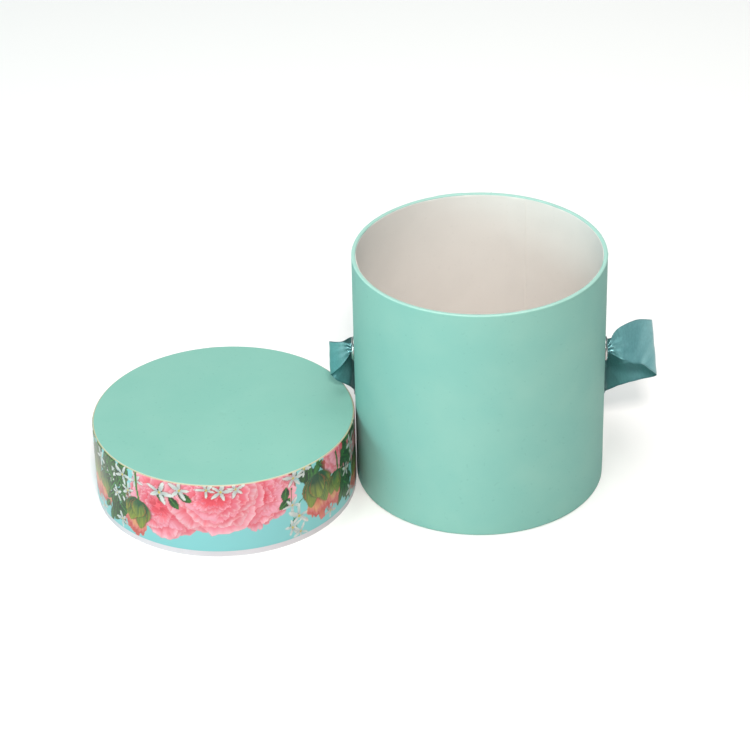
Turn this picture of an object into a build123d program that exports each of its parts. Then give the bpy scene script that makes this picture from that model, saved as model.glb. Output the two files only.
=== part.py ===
"""Round rigid gift box: open body, overlapping lid beside it, and a satin ribbon handle.

The origin is the centre of the underside of the body, +Z is up, the two eyelets lie on the X axis
and the front is towards -Y. The lid lies right side up on the same surface as the body.
Lengths are in millimetres.
"""

from build123d import *
import os
from math import cos, radians, sin, sqrt

os.makedirs("parts", exist_ok=True)

# Body
body_diameter = 180.0
body_height = 180.0
tube_thickness = 2.3
wrap_thickness = 0.25
lining_thickness = 0.25
rim_turn_in = 12.0          # wrap turned down inside the rim
base_turn_in = 10.0         # wrap turned under the base
rim_rounding = 0.9          # outside radius of a wrapped edge
lining_drop = 1.5           # bare wrap between the rim and the lining
base_board_thickness = 2.3
base_cover_thickness = 0.55
base_cover_inset = 3.0
disc_clearance = 0.1        # round a paper disc inside a lined wall

# Eyelets
eyelet_height = 101.0
eyelet_bore = 10.0
eyelet_metal = 0.4
eyelet_diameter = 17.8
eyelet_crown = 1.6
eyelet_hole_clearance = 0.1
eyelet_curl = 1.2           # width of the rolled end, beyond the barrel
eyelet_curl_depth = 1.25
washer_diameter = 17.8
washer_thickness = 0.6
washer_seat_gap = 0.02

# Ribbon
ribbon_width = 30.0
ribbon_thickness = 0.8
ribbon_gap = 0.3            # between the ribbon's own pieces, and to the metal
stem_thickness = 4.0        # of the ribbon bunched in the eyelet
stem_clearance = 0.7        # round the bunched ribbon
knot_length = 14.0
knot_diameter = 16.0
knot_rounding = 6.0
tail_length = 24.0
tail_width = 20.0

# Lid
lid_clearance = 0.95
lid_height = 60.0
lid_board_thickness = 3.0
lid_sleeve_thickness = 0.5
lid_sleeve_lift = 4.8       # bare ring below the printed sleeve
lid_turn_in = 10.0
lid_turn_in_thickness = 0.3
lid_edge_rounding = 1.2
lid_cover_thickness = 0.6
lid_cover_inset = 1.2
lid_liner_thickness = 0.25
lid_liner_lift = 1.0
lid_gap = 1.1               # between the lid and the body, side by side
lid_bearing = 186.9         # degrees, from the body to the lid, seen from above

# Radii of the body's layers, from the outside in
body_radius = body_diameter / 2
tube_radius = body_radius - wrap_thickness
tube_bore = tube_radius - tube_thickness
turn_in_bore = tube_bore - wrap_thickness
lining_bore = tube_bore - lining_thickness
upper_lining_bore = turn_in_bore - lining_thickness

# Heights of the body's layers, from the table up
wrap_bottom = base_cover_thickness - wrap_thickness
board_bottom = base_cover_thickness
board_top = board_bottom + base_board_thickness
tube_top = body_height - wrap_thickness
turn_in_end = body_height - rim_turn_in

# Radii and heights of the lid's layers
liner_bore = body_radius + lid_clearance
ring_bore = liner_bore + lid_liner_thickness
ring_radius = ring_bore + lid_board_thickness
lid_radius = ring_radius + lid_sleeve_thickness
ring_top = lid_height - lid_cover_thickness
sleeve_top = ring_top + lid_turn_in_thickness
top_board_bottom = ring_top - lid_board_thickness
lid_spacing = body_radius + lid_radius + lid_gap
lid_x = lid_spacing * cos(radians(lid_bearing))
lid_y = lid_spacing * sin(radians(lid_bearing))

body_section = Plane.XZ
body_axis = Axis.Z
lid_section = Plane(origin=(lid_x, lid_y, 0), x_dir=(1, 0, 0), z_dir=(0, -1, 0))
lid_axis = Axis((lid_x, lid_y, 0), (0, 0, 1))


def band(inner, outer, low, high, mode=Mode.ADD):
    """A rectangle of a half section: from one radius to another, and one height to another."""
    with Locations(((inner + outer) / 2, (low + high) / 2)):
        Rectangle(outer - inner, high - low, mode=mode)


def finish(piece, name):
    piece.part.label = name
    export_step(piece.part, f"parts/{name}.step")


def eyelet_holes():
    """Bore both eyelet holes through the wall in hand."""
    hole_radius = eyelet_bore / 2 + eyelet_metal + eyelet_hole_clearance
    with Locations((0, 0, eyelet_height)):
        Cylinder(hole_radius, body_diameter + 2, rotation=(0, 90, 0), mode=Mode.SUBTRACT)


# ---------------------------------------------------------------- body

with BuildPart() as body_tube:
    with BuildSketch(body_section) as tube_section:
        band(tube_bore, tube_radius, board_bottom, tube_top)
        fillet(tube_section.vertices().group_by(Axis.Y)[-1], rim_rounding - wrap_thickness)
        bottom_corners = tube_section.vertices().group_by(Axis.Y)[0]
        fillet(bottom_corners.sort_by(Axis.X)[-1], rim_rounding - wrap_thickness)
    revolve(axis=body_axis)
    eyelet_holes()
finish(body_tube, "body_tube")

with BuildPart() as body_wrap:
    with BuildSketch(body_section) as wrap_section:
        band(turn_in_bore, body_radius, wrap_bottom, body_height)
        fillet(wrap_section.vertices().group_by(Axis.Y)[-1], rim_rounding)
        bottom_corners = wrap_section.vertices().group_by(Axis.Y)[0]
        fillet(bottom_corners.sort_by(Axis.X)[-1], rim_rounding)
        with BuildSketch(mode=Mode.SUBTRACT) as tube_core:
            band(tube_bore, tube_radius, board_bottom, tube_top)
            fillet(tube_core.vertices().group_by(Axis.Y)[-1], rim_rounding - wrap_thickness)
            bottom_corners = tube_core.vertices().group_by(Axis.Y)[0]
            fillet(bottom_corners.sort_by(Axis.X)[-1], rim_rounding - wrap_thickness)
        band(turn_in_bore, tube_bore, wrap_bottom, turn_in_end, mode=Mode.SUBTRACT)
        band(body_radius - base_turn_in, tube_bore, wrap_bottom, board_bottom)
    revolve(axis=body_axis)
    eyelet_holes()
finish(body_wrap, "body_wrap")

with BuildPart() as body_lining:
    with BuildSketch(body_section):
        band(lining_bore, tube_bore, board_top, turn_in_end)
        band(upper_lining_bore, turn_in_bore, turn_in_end - lining_thickness, body_height - lining_drop)
    revolve(axis=body_axis)
    eyelet_holes()
finish(body_lining, "body_lining")

with BuildPart() as base_disc:
    with BuildSketch(Plane.XY.offset(board_bottom)):
        Circle(tube_bore)
    extrude(amount=base_board_thickness)
finish(base_disc, "base_disc")

with BuildPart() as base_lining:
    with BuildSketch(Plane.XY.offset(board_top)):
        Circle(lining_bore - disc_clearance)
    extrude(amount=lining_thickness)
finish(base_lining, "base_lining")

with BuildPart() as base_cover:
    with BuildSketch(Plane.XY):
        Circle(body_radius - base_cover_inset)
    extrude(amount=wrap_bottom)
    with BuildSketch(Plane.XY.offset(wrap_bottom)):
        Circle(body_radius - base_turn_in)
    extrude(amount=wrap_thickness)
finish(base_cover, "base_cover")

# ---------------------------------------------------------------- eyelets, washers and knots

bore_radius = eyelet_bore / 2
barrel_radius = bore_radius + eyelet_metal
flange_radius = eyelet_diameter / 2
washer_radius = washer_diameter / 2
crown_radius = (barrel_radius + flange_radius) / 2 - eyelet_metal / 2
washer_face = sqrt(lining_bore**2 - washer_radius**2) - washer_seat_gap
washer_back = washer_face - washer_thickness
curl_end = washer_back - eyelet_curl_depth
knot_outer = curl_end - ribbon_gap
tail_x = knot_outer - knot_length * 0.7
eyelet_axis = Axis((0, 0, eyelet_height), (1, 0, 0))

for side_name, side in (("left", -1), ("right", 1)):
    # A half section through one eyelet: local x points outwards, local y is the radius.
    eyelet_section = Plane(origin=(0, 0, eyelet_height), x_dir=(side, 0, 0), z_dir=(0, -side, 0))

    with BuildPart() as eyelet:
        with BuildSketch(eyelet_section):
            with BuildLine():
                mouth = (body_radius + eyelet_crown * 0.45, bore_radius)
                crown = (body_radius + eyelet_crown, crown_radius)
                rim = (body_radius, flange_radius)
                lip = (body_radius, flange_radius - eyelet_metal)
                vault = (body_radius + eyelet_crown - eyelet_metal, crown_radius)
                throat = (body_radius + eyelet_crown * 0.2, barrel_radius)
                corner = (washer_back, barrel_radius)
                curl_rim = (washer_back, barrel_radius + eyelet_curl)
                curl_back = (curl_end, barrel_radius + eyelet_curl / 3)
                barrel_end = (washer_back - eyelet_curl_depth / 2, bore_radius)
                TangentArc(crown, mouth, tangent=(0, -1))
                TangentArc(crown, rim, tangent=(0, 1))
                Line(rim, lip)
                TangentArc(vault, lip, tangent=(0, 1))
                TangentArc(vault, throat, tangent=(0, -1))
                Line(throat, corner)
                Line(corner, curl_rim)
                ThreePointArc(curl_rim, curl_back, barrel_end)
                Line(barrel_end, mouth)
            make_face()
        revolve(axis=eyelet_axis)
    finish(eyelet, f"eyelet_{side_name}")

    with BuildPart() as washer:
        with BuildSketch(eyelet_section):
            band(washer_back, washer_face, barrel_radius + eyelet_hole_clearance, washer_radius)
        revolve(axis=eyelet_axis)
    finish(washer, f"eyelet_washer_{side_name}")

    with BuildPart() as knot:
        with BuildSketch(eyelet_section) as knot_section:
            band(knot_outer - knot_length, knot_outer, 0, knot_diameter / 2)
            fillet(knot_section.vertices().group_by(Axis.Y)[-1], knot_rounding)
        revolve(axis=eyelet_axis)
        tail_top = eyelet_height - knot_diameter / 4
        with Locations((side * tail_x, 0, tail_top - tail_length / 2)):
            Box(ribbon_thickness, tail_width, tail_length)
    finish(knot, f"ribbon_knot_{side_name}")

# ---------------------------------------------------------------- ribbon handle

# The ribbon's stations: a point of its middle line, the direction of its width, its width there and
# its thickness there. It is bunched through the eyelet, opens out, turns back on itself and falls
# behind the body, where it lies on edge on the table.
stem_width = sqrt((eyelet_bore - 2 * stem_clearance) ** 2 - stem_thickness**2)
upright = (0, 0, 1)
leaning_back = (0, 0.35, 0.93)
turning = (-0.15, 0.33, 0.93)


def beside(side, out, back, up):
    """A point near an eyelet: out from the wall, back from the eyelet's axis, and up from it."""
    return (side * (body_radius + out), back, eyelet_height + up)


def behind(angle, clearance, lift):
    """A point behind the body: an angle from +X, a distance from the wall, and the lower edge's height."""
    distance = body_radius + clearance
    height = ribbon_width / 2 + lift
    return (distance * cos(radians(angle)), distance * sin(radians(angle)), height)


def stem(side):
    return [
        ((side * curl_end, 0, eyelet_height), upright, stem_width, stem_thickness),
        (beside(side, eyelet_crown + 1.2, 0, 0), upright, stem_width, stem_thickness),
    ]


def full_width(*places):
    return [(point, across, ribbon_width, ribbon_thickness) for point, across in places]


right_side = stem(1) + [
    (beside(1, 7.5, -0.5, 1.5), leaning_back, 16, 1.8),
    (beside(1, 13, -0.5, 3.5), leaning_back, 24, 1.0),
    (beside(1, 19.5, 1, 4.5), leaning_back, 29, ribbon_thickness),
] + full_width(
    (beside(1, 26.5, 4, 3), turning),
    (beside(1, 32.5, 8.5, -1), turning),
    (beside(1, 36, 14, -7), turning),
    (beside(1, 35.5, 20, -12.5), turning),
    (beside(1, 30, 25, -18.5), turning),
    (beside(1, 21.5, 27.5, -23.5), leaning_back),
    (beside(1, 12.5, 29.5, -27.5), leaning_back),
    (beside(1, 5, 35, -33), leaning_back),
    (beside(1, 2.5, 46.5, -43.5), leaning_back),
    (beside(1, 2.4, 57, -54), leaning_back),
    (beside(1, 2.4, 69, -65), upright),
    (behind(51, 21, 11), upright),
    (behind(69.5, 18, 4), upright),
)
left_side = stem(-1) + [
    (beside(-1, 6, -1, -0.5), upright, 13, 2.0),
    (beside(-1, 10.5, -1.5, -2.5), upright, 17, 1.6),
    (beside(-1, 14.7, 0, -5.5), upright, 20, 1.2),
    (beside(-1, 17.6, 3.5, -9), upright, 22, 1.0),
    (beside(-1, 17.5, 8, -12.5), upright, 24, 0.8),
    (beside(-1, 14, 12, -15.5), upright, 26, ribbon_thickness),
    (beside(-1, 9, 16.5, -19), leaning_back, 28, ribbon_thickness),
] + full_width(
    (beside(-1, 4.5, 22.5, -24), leaning_back),
    (beside(-1, 2.4, 32, -32.5), leaning_back),
    (beside(-1, 2.3, 46, -45), leaning_back),
    (beside(-1, 2.4, 57, -55), leaning_back),
    (beside(-1, 2.4, 69, -65.5), upright),
    (behind(129, 21, 11), upright),
    (behind(110.5, 18, 4), upright),
)
back_middle = full_width((behind(90, 17, 2), upright))
stations = left_side + back_middle + right_side[::-1]
points = [Vector(*station[0]) for station in stations]

sections = []
for index, (point, across, width, thickness) in enumerate(stations):
    before = points[max(index - 1, 0)]
    after = points[min(index + 1, len(points) - 1)]
    along = (after - before).normalized()
    lengthwise_part = along * along.dot(Vector(*across))
    width_direction = (Vector(*across) - lengthwise_part).normalized()
    with BuildSketch(Plane(origin=point, x_dir=width_direction, z_dir=along)) as section:
        Rectangle(width, thickness)
    sections.append(section.sketch)

with BuildPart() as ribbon_strap:
    for section, next_section in zip(sections, sections[1:]):
        loft([section.face(), next_section.face()], ruled=True)
finish(ribbon_strap, "ribbon_strap")

ribbon_length = sum((b - a).length for a, b in zip(points, points[1:]))
print(f"ribbon between the knots: {ribbon_length:.0f} mm, strap volume {ribbon_strap.part.volume:.0f} mm3")

# ---------------------------------------------------------------- lid

with BuildPart() as lid_ring_board:
    with BuildSketch(lid_section) as ring_section:
        band(ring_bore, ring_radius, 0, ring_top)
        top_corners = ring_section.vertices().group_by(Axis.Y)[-1]
        fillet(top_corners.sort_by(Axis.X)[-1], lid_edge_rounding - lid_sleeve_thickness)
    revolve(axis=lid_axis)
finish(lid_ring_board, "lid_ring_board")

with BuildPart() as lid_side_wrap:
    with BuildSketch(lid_section) as sleeve_section:
        band(lid_radius - lid_turn_in, lid_radius, lid_sleeve_lift, sleeve_top)
        top_corners = sleeve_section.vertices().group_by(Axis.Y)[-1]
        fillet(top_corners.sort_by(Axis.X)[-1], lid_edge_rounding)
        with BuildSketch(mode=Mode.SUBTRACT) as ring_core:
            band(lid_radius - lid_turn_in, ring_radius, lid_sleeve_lift, ring_top)
            top_corners = ring_core.vertices().group_by(Axis.Y)[-1]
            fillet(top_corners.sort_by(Axis.X)[-1], lid_edge_rounding - lid_sleeve_thickness)
    revolve(axis=lid_axis)
finish(lid_side_wrap, "lid_side_wrap")

with BuildPart() as lid_top_board:
    with BuildSketch(Plane((lid_x, lid_y, top_board_bottom))):
        Circle(ring_bore)
    extrude(amount=lid_board_thickness)
finish(lid_top_board, "lid_top_board")

with BuildPart() as lid_top_cover:
    with BuildSketch(Plane((lid_x, lid_y, ring_top))):
        Circle(lid_radius - lid_turn_in)
    extrude(amount=lid_turn_in_thickness)
    with BuildSketch(Plane((lid_x, lid_y, sleeve_top))):
        Circle(lid_radius - lid_cover_inset)
    extrude(amount=lid_height - sleeve_top)
finish(lid_top_cover, "lid_top_cover")

with BuildPart() as lid_liner:
    with BuildSketch(lid_section):
        band(liner_bore, ring_bore, lid_liner_lift, top_board_bottom)
    revolve(axis=lid_axis)
finish(lid_liner, "lid_liner")

with BuildPart() as lid_lining_disc:
    with BuildSketch(Plane((lid_x, lid_y, top_board_bottom - lid_liner_thickness))):
        Circle(liner_bore - disc_clearance)
    extrude(amount=lid_liner_thickness)
finish(lid_lining_disc, "lid_lining_disc")
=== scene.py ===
"""Looks of the round gift box: paper wraps, printed lid, satin ribbon, metal eyelets, floor, light, camera.

Everything is in metres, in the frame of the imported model: the origin is the centre of the underside of
the body, +Z is up, the eyelets lie on the X axis and the front is towards -Y.
"""

import math

import bmesh
import bpy
import numpy as np
from mathutils import Matrix, Vector


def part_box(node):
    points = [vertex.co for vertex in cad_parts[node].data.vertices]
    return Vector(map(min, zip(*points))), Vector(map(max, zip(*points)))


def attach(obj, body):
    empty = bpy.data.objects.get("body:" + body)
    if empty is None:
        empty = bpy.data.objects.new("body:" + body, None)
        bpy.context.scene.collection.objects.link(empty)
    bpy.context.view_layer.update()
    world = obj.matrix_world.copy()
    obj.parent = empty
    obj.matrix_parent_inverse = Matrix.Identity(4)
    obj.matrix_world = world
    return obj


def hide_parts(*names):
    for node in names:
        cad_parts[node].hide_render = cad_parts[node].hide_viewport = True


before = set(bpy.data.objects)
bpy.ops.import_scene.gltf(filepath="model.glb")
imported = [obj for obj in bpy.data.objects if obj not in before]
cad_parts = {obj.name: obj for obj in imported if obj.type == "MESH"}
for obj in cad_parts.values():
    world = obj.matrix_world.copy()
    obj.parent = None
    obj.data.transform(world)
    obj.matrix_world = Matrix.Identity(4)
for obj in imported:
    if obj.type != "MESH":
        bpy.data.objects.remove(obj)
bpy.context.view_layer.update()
mm = 0.001
light_level = 1.5           # how much brighter than its paint a surface comes out

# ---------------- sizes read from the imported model

wrap_low, wrap_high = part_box("body_wrap")
lid_low, lid_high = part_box("lid_side_wrap")
body_radius = wrap_high.x
body_height = wrap_high.z
lid_radius = (lid_high.x - lid_low.x) / 2
lid_x = (lid_high.x + lid_low.x) / 2
lid_y = (lid_high.y + lid_low.y) / 2


# ---------------- materials

class Shader:
    """One procedural material, built node by node. A name makes a new material."""

    def __init__(self, material, **constants):
        if isinstance(material, str):
            material = bpy.data.materials.new(material)
            material.use_nodes = True
        self.material = material
        self.tree = material.node_tree
        self.surface = self.tree.nodes["Principled BSDF"]
        for socket, value in constants.items():
            self.surface.inputs[socket.replace("_", " ")].default_value = value
        self.place = self.add("ShaderNodeTexCoord").outputs["Object"]

    def add(self, kind, settings=(), **inputs):
        node = self.tree.nodes.new(kind)
        for name, value in dict(settings).items():
            setattr(node, name, value)
        for name, value in inputs.items():
            self.put(node.inputs[name.replace("_", " ")], value)
        return node

    def put(self, socket, value):
        if isinstance(value, bpy.types.NodeSocket):
            self.tree.links.new(value, socket)
        else:
            socket.default_value = value

    def set(self, socket, value):
        self.put(self.surface.inputs[socket], value)

    def math(self, operation, a, b=0.0, c=0.0):
        node = self.add("ShaderNodeMath", {"operation": operation})
        for socket, value in zip(node.inputs, (a, b, c)):
            self.put(socket, value)
        return node.outputs[0]

    def joined(self, *parts):
        """A vector, of values each with its factor."""
        node = self.add("ShaderNodeCombineXYZ")
        for socket, (value, factor) in zip(node.inputs, parts):
            self.put(socket, self.math("MULTIPLY", value, factor))
        return node.outputs[0]

    def parts(self, vector):
        return self.add("ShaderNodeSeparateXYZ", Vector=vector).outputs[:]

    def noise(self, scale, detail, rough=0.5, place=None):
        """Noise from 0 to 1. The scale is in features per unit of the place, which is in metres."""
        mapping = self.add("ShaderNodeMapping", Vector=place or self.place)
        mapping.inputs["Scale"].default_value = [scale] * 3
        node = self.add("ShaderNodeTexNoise", Scale=1.0, Detail=detail, Roughness=rough)
        self.put(node.inputs["Vector"], mapping.outputs[0])
        return node.outputs["Fac"]

    def spread(self, value, low, high, to_low=0.0, to_high=1.0):
        """Maps low and high to two new values, and holds what is past them."""
        node = self.add("ShaderNodeMapRange", Value=value, From_Min=low, From_Max=high)
        self.put(node.inputs["To Min"], to_low)
        self.put(node.inputs["To Max"], to_high)
        return node.outputs["Result"]

    def blend(self, amount, a, b):
        node = self.add("ShaderNodeMix", {"data_type": "RGBA"})
        self.put(node.inputs["Factor"], amount)
        self.put(node.inputs[6], a)
        self.put(node.inputs[7], b)
        return node.outputs[2]

    def bump(self, height, strength, depth):
        """Adds a bump, its depth in metres, to those before it."""
        node = self.add("ShaderNodeBump", Height=height, Strength=strength, Distance=depth)
        before = self.surface.inputs["Normal"].links
        if before:
            self.put(node.inputs["Normal"], before[0].from_socket)
        self.set("Normal", node.outputs[0])


def linear(red, green, blue):
    """A shader colour from the eye's 0 to 255 scale."""
    parts = [c / 255 for c in (red, green, blue)]
    return [c / 12.92 if c <= 0.04045 else ((c + 0.055) / 1.055) ** 2.4 for c in parts] + [1.0]


def look(red, green, blue):
    """The paint for a surface that should come out that colour in this light."""
    return [c / light_level for c in linear(red, green, blue)[:3]] + [1.0]


def tinted(colour, factor):
    return [min(1.0, c * factor) for c in colour[:3]]


paper_grain = 0.03 * mm
drift_scale, fleck_scale, fibre_scale = 28, 420, 900      # features per metre


def paper(name, colour, shade, roughness=0.6, flecks=0.0, metallic=0.0):
    """Coated paper: two close shades drift over it, with a fine tooth and a few specks."""
    shader = Shader(name, Specular_IOR_Level=0.15, Metallic=metallic)
    drift = shader.noise(drift_scale, 3)
    fibre = shader.noise(fibre_scale, 3, rough=0.65)
    base = shader.blend(shader.spread(drift, 0.35, 0.65), linear(*colour), linear(*shade))
    fleck = shader.spread(shader.noise(fleck_scale, 0), 0.77, 0.80)
    fleck_colour = tinted(linear(*shade), 0.55) + [1]
    shader.set("Base Color", shader.blend(shader.math("MULTIPLY", fleck, flecks), base, fleck_colour))
    shader.set("Roughness", shader.spread(fibre, 0.3, 0.7, roughness - 0.06, roughness + 0.06))
    shader.bump(fibre, 0.5, paper_grain)
    return shader.material


# Those of the print and the ribbon lie under what replaces them.
finishes = {
    "mint_paper": paper("mint paper", (128, 172, 160), (122, 169, 158), flecks=0.15),
    "cream_paper": paper("cream paper", (229, 222, 216), (225, 218, 212), 0.75, 0.05),
    "white_paper": paper("white paper", (205, 203, 200), (198, 196, 194), 0.7),
    "white_board": paper("white board", (203, 194, 197), (198, 189, 192), 0.7),
    "grey_board": paper("grey board", (120, 116, 110), (110, 106, 100), 0.85),
    "floral_print": paper("print ground", (120, 182, 180), (116, 178, 176)),
    "nickel": paper("nickel", (190, 188, 184), (180, 178, 174), 0.3, metallic=1.0),
    "satin_ribbon": paper("satin", (60, 120, 124), (56, 112, 118), 0.4),
}

# ---------------- meshes

def grid_faces(rows, cols):
    """The faces of a grid of vertices that are numbered row by row, and the numbers round its rim."""
    index = np.arange(rows * cols).reshape(rows, cols)
    quads = np.stack((index[:-1, :-1], index[:-1, 1:], index[1:, 1:], index[1:, :-1]), -1).reshape(-1, 4)
    rim = np.concatenate((index[0], index[1:, -1], index[-1, -2::-1], index[-2:0:-1, 0]))
    return quads, rim


def new_mesh(name, points, faces):
    mesh = bpy.data.meshes.new(name)
    mesh.from_pydata(points.reshape(-1, 3).tolist(), [], faces.tolist())
    return mesh


def smoothed(mesh, degrees):
    """Smooth but for the edges that are sharper than the angle."""
    mesh.shade_smooth()
    mesh.set_sharp_from_angle(angle=math.radians(degrees))
    return mesh


def per_vertex(mesh, name, values, kind="vector"):
    """Stores a vector or a colour for each vertex, for a material to read."""
    if kind == "color":
        values = np.concatenate((values, np.ones((len(values), 1))), 1)
    layer = mesh.attributes.new(name, "FLOAT_" + kind.upper(), "POINT")
    layer.data.foreach_set(kind, np.ascontiguousarray(values, np.float32).ravel())


def placed(mesh, finish, body, replaced):
    """Puts a mesh in the scene on its body, in its finish and in place of a CAD node."""
    mesh.materials.append(finish)
    piece = bpy.data.objects.new(mesh.name, mesh)
    bpy.context.scene.collection.objects.link(piece)
    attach(piece, body)
    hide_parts(replaced)
    return piece


# ---------------- the floral print

# The sleeve laid flat, in millimetres: x runs round the lid from the seam, y runs up from the lower edge.
sleeve_corner = 1.2
sleeve_thickness = 0.5
sleeve_turn_in = 10.0
sleeve_overlap = 8.0
sleeve_overlap_rise = 0.2
sleeve_rise = (lid_high.z - lid_low.z) / mm - sleeve_corner
sleeve_arc = sleeve_corner * math.pi / 2
sleeve_length = 2 * math.pi * lid_radius / mm
sleeve_width = sleeve_rise + sleeve_arc + sleeve_turn_in - sleeve_corner
sleeve_seam = math.radians(96.5)
top_edge = sleeve_rise + sleeve_arc / 2
print_grain = 0.6           # spacing of the sleeve's vertices

deep_coral, coral, rose = look(232, 64, 82), look(250, 96, 110), look(252, 138, 160)
blush, pale_rose = look(254, 174, 190), look(255, 208, 212)
card_edge = look(216, 206, 168)
deep_leaf, mid_leaf = look(16, 52, 28), look(52, 116, 40)
jasmine_shade, jasmine_white = look(186, 192, 190), look(238, 238, 230)
bud_red, bud_olive = look(200, 84, 48), look(150, 160, 56)
bud_deep, bud_peach, bud_tip = look(206, 66, 66), look(240, 176, 120), look(226, 78, 132)
eye_yellow = look(214, 190, 60)
ground_blue = look(140, 212, 212)


def fan(chance, ruffle, half_angle=60):
    """A broad petal, narrow at its base and ruffled along its outer edge.
    A shape gives 0 at its heart, 1 on its outline and more outside; v runs from base to tip, u across."""
    turns = np.radians(np.linspace(-half_angle, half_angle, 15))
    waves = 1 + ruffle * chance.uniform(-1, 1, len(turns))

    def shape(u, v):
        turn = np.arctan2(u, v)
        shoulder = np.cos(np.clip(turn * 0.9, -1.5, 1.5)) ** 0.35 * np.interp(turn, turns, waves)
        rim = np.hypot(u, v) / shoulder
        return np.where(np.abs(turn) < turns[-1], rim, 2.0), rim

    return shape


def lens(power=0.8):
    """A narrow petal or a leaf, pointed at both ends."""

    def shape(u, v):
        within = (v > 0) & (v < 1)
        half = np.sin(np.pi * np.clip(v, 0.001, 0.999)) ** power
        return np.where(within, np.abs(u) / half, 2.0), v

    return shape


def stroke(bow):
    """A stem that bows sideways by that many half widths."""

    def shape(u, v):
        within = (v > 0) & (v < 1)
        return np.where(within, np.abs(u - bow * np.sin(np.pi * np.clip(v, 0, 1))), 2.0), v

    return shape


class FlatPrint:
    """The inks at each vertex of the flat sleeve. Each new shape covers what is under it."""

    def __init__(self, xs, ys, seed):
        self.xs, self.ys = xs, ys
        self.chance = np.random.default_rng(seed)
        full = (len(ys), len(xs), 3)
        self.petal = np.full(full, 0.5)
        self.tone = np.zeros(full)
        self.inks = {name: np.full(full, ground_blue[:3]) for name in ("dark", "light", "edge")}
        self.printed = np.zeros(full[:2], bool)

    def any(self, low, high):
        return float(self.chance.uniform(low, high))

    def near(self, place, angle, size, reach=1.0):
        """The rows and columns near a place, on each turn of the sleeve, with u and v at each vertex.
        The angle turns v from straight up, and size is the length of one u and of one v."""
        cos, sin = math.cos(angle), math.sin(angle)
        around = 1.5 * reach * max(size)
        for turn in (-sleeve_length, 0.0, sleeve_length):
            cols = np.nonzero(np.abs(self.xs - place[0] - turn) < around)[0]
            rows = np.nonzero(np.abs(self.ys - place[1]) < around)[0]
            if len(cols) and len(rows):
                x, y = np.meshgrid(self.xs[cols] - place[0] - turn, self.ys[rows] - place[1])
                yield rows, cols, (x * cos + y * sin) / size[0], (y * cos - x * sin) / size[1]

    def add(self, shape, place, angle, size, dark, light, edge, streak=0.0):
        seed = self.any(0, 1)
        for rows, cols, u, v in self.near(place, angle, size):
            rim, gradient = shape(u, v)
            row, col = np.nonzero(rim < 1)
            here = (rows[row], cols[col])
            self.printed[here] = True
            self.petal[here] = np.stack((u[row, col], v[row, col], np.full(len(row), seed)), 1)
            self.tone[here] = np.stack((rim[row, col], gradient[row, col], np.full(len(row), streak)), 1)
            for name, ink in (("dark", dark), ("light", light), ("edge", edge)):
                self.inks[name][here] = ink[:3]

    def shade(self, shape, place, angle, size, colour, depth, reach=1.3):
        """Darkens what is printed round a shape that comes next, most of all close to its outline."""
        for rows, cols, u, v in self.near(place, angle, size, reach):
            rim = shape(u, v)[0]
            row, col = np.nonzero((rim < reach) & self.printed[np.ix_(rows, cols)])
            here = (rows[row], cols[col])
            amount = depth * np.clip((reach - rim[row, col]) / (reach - 1), 0, 1)[:, None]
            for ink in self.inks.values():
                ink[here] += (np.array(colour[:3]) - ink[here]) * amount

    def leaf(self, place, swing, *form):
        """A leaf that hangs within a swing of straight down. Its form is its length, width and tint, each
        of them a number or the two ends of a range."""
        angle = math.radians(180 + self.any(-swing, swing))
        length, width, tint = [self.any(*size) if isinstance(size, tuple) else size for size in form]
        dark, light = tinted(deep_leaf, tint), tinted(mid_leaf, tint)
        self.add(lens(), place, angle, (width / 2, length), dark, light, dark, 0.35)
        vein = tinted(mid_leaf, tint * 1.7)
        self.add(stroke(0), place, angle, (0.35, length * 0.92), vein, light, vein)

    def stem(self, start, end, bow, width, tint):
        run = np.array(end) - np.array(start)
        angle = math.atan2(-run[0], run[1])
        colours = [tinted(mid_leaf, tint * shade) for shade in (0.8, 1.2, 0.5)]
        self.add(stroke(bow / width * 2), start, angle, (width / 2, np.hypot(*run)), *colours)

    def jasmine(self, place, size):
        """A small white star of five narrow petals round a yellow eye."""
        start = self.any(0, 360)
        for index in range(5):
            angle = math.radians(start + index * 72 + self.any(-14, 14))
            form = (size * self.any(0.12, 0.18), size * self.any(0.8, 1.15))
            self.shade(lens(0.6), place, angle, form, deep_leaf, 0.5, 1.9)
            self.add(lens(0.6), place, angle, form, jasmine_shade, jasmine_white, jasmine_white, 0.25)
        heart = np.array(place) - (0, size * 0.13)
        self.add(lens(), heart, 0, (size * 0.11, size * 0.26), *[eye_yellow] * 3)

    def peony(self, place, size, tint=1.0):
        """A full double bloom: rings of ruffled petals, pale outside and deep coral within."""
        rings = (
            (11, 1.00, rose, blush, pale_rose, 0.08),
            (10, 0.86, coral, blush, pale_rose, 0.09),
            (9, 0.72, rose, blush, blush, 0.12),
            (8, 0.58, coral, rose, pale_rose, 0.15),
            (7, 0.44, coral, blush, blush, 0.19),
            (6, 0.30, deep_coral, rose, blush, 0.21),
            (4, 0.16, deep_coral, coral, rose, 0.24),
        )
        self.add(fan(self.chance, 0, 179), place, 0, np.array(size) * 0.7, coral, rose, rose)
        for count, reach, dark, light, edge, ruffle in rings:
            turn = self.any(0, 360)
            for index in self.chance.permutation(count):
                angle = math.radians(turn + index * 360 / count + self.any(-9, 9))
                shift = reach * self.any(0.2, 0.5)
                base = np.array((-math.sin(angle), math.cos(angle))) * shift * np.array(size)
                length = max(reach, 0.35) * self.any(0.5, 0.8)
                form = (length * size[0] * self.any(0.6, 1.1), length * size[1])
                tilt = angle + math.radians(self.any(-16, 16))
                petal = fan(self.chance, ruffle)
                self.shade(petal, place + base, tilt, form, tinted(deep_coral, tint), self.any(0.28, 0.5))
                colours = [tinted(c, self.any(0.86, 1.08) * tint) for c in (dark, light, edge)]
                self.add(petal, place + base, tilt, form, *colours, 0.6)

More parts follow.
